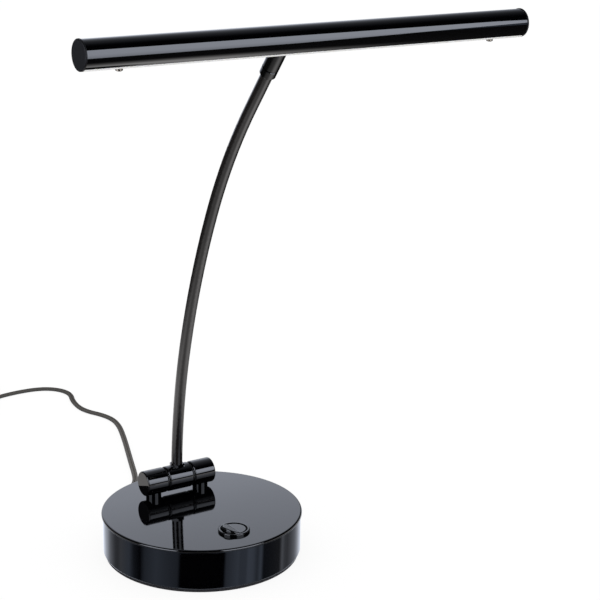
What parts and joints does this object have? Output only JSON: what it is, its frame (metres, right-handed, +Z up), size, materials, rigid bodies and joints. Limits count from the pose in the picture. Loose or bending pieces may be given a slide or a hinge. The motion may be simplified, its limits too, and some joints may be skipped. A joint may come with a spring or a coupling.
{
  "type": "piano lamp",
  "caption": "Weighted round foot with a rocker switch, a barrel hinge, a slim curved arm and a long tubular LED head on a swivel and fork.",
  "frame": {"origin": "on the floor plane under the middle of the round foot", "axes": "+Z up, the player sits at -Y, hinge barrel and lamp head along X"},
  "size_m": [0.35, 0.6825, 0.444],
  "materials": {
    "black_lacquer": "gloss black lacquer on metal",
    "black_plastic": "black moulded plastic, low gloss",
    "cap_plastic": "dark grey moulded plastic, matte",
    "cast_weight": "raw casting",
    "zinc_steel": "zinc plated",
    "plate_steel": "black primer",
    "pad_foam": "fine cell foam",
    "nylon": "black nylon",
    "white_plastic": "white moulded plastic",
    "frosted": "frosted translucent plastic",
    "board_white": "white solder mask on aluminium",
    "led_phosphor": "yellow phosphor under clear resin",
    "cord_pvc": "dark grey PVC",
    "nickel": "nickel plated"
  },
  "bodies": {
    "foot": {"top_plate": "black_lacquer", "drum": "black_lacquer", "bottom_plate": "plate_steel", "foot_pad": "pad_foam", "ballast": "cast_weight", "tie_screws": "zinc_steel", "driver_box": "white_plastic", "terminal_block": "white_plastic", "switch_bezel": "black_plastic", "hinge_post_left": "black_lacquer", "hinge_post_right": "black_lacquer", "hinge_knuckle_left": "black_lacquer", "hinge_knuckle_right": "black_lacquer", "hinge_axle": "zinc_steel", "hinge_washers": "nylon", "post_nipples": "zinc_steel", "post_nuts": "zinc_steel", "cord_gland": "cord_pvc", "power_cord": "cord_pvc", "cord_coil": "cord_pvc", "plug_body": "cord_pvc", "plug_pins": "nickel"},
    "rocker": {"switch_rocker": "black_plastic"},
    "arm": {"hinge_knuckle_centre": "black_lacquer", "hinge_bush": "nylon", "arm_foot_nut": "black_lacquer", "arm_tube": "black_lacquer", "arm_lead": "cord_pvc", "neck_ferrule": "black_lacquer", "neck_nipple": "zinc_steel", "neck_washer": "nylon"},
    "collar": {"neck_collar": "black_lacquer", "neck_lock_nut": "zinc_steel", "pivot_screw": "black_lacquer", "pivot_nut": "black_lacquer"},
    "head": {"head_stem": "black_lacquer", "head_saddle": "black_lacquer", "head_nipple": "zinc_steel", "head_tube": "black_lacquer", "end_cap_left": "cap_plastic", "end_cap_right": "cap_plastic", "led_board": "board_white", "led_chips": "led_phosphor", "diffuser": "frosted", "diffuser_screws": "zinc_steel"}
  },
  "joints": [
    {"name": "arm_hinge", "type": "hinge", "parent": "foot", "child": "arm", "pos_m": [0, 0.0418, 0.04885], "axis": [1, 0, 0], "range_deg": [-35, 35]},
    {"name": "neck_swivel", "type": "hinge", "parent": "arm", "child": "collar", "pos_m": [0, -0.09855, 0.40529], "axis": [0, -0.6266, 0.7793], "range_deg": [-90, 90]},
    {"name": "head_tilt", "type": "hinge", "parent": "collar", "child": "head", "pos_m": [0, -0.11609, 0.42711], "axis": [1, 0, 0], "range_deg": [-60, 55]},
    {"name": "rocker_throw", "type": "hinge", "parent": "foot", "child": "rocker", "pos_m": [0, -0.0504, 0.0361], "axis": [0, -1, 0], "range_deg": [0, 20]}
  ]
}
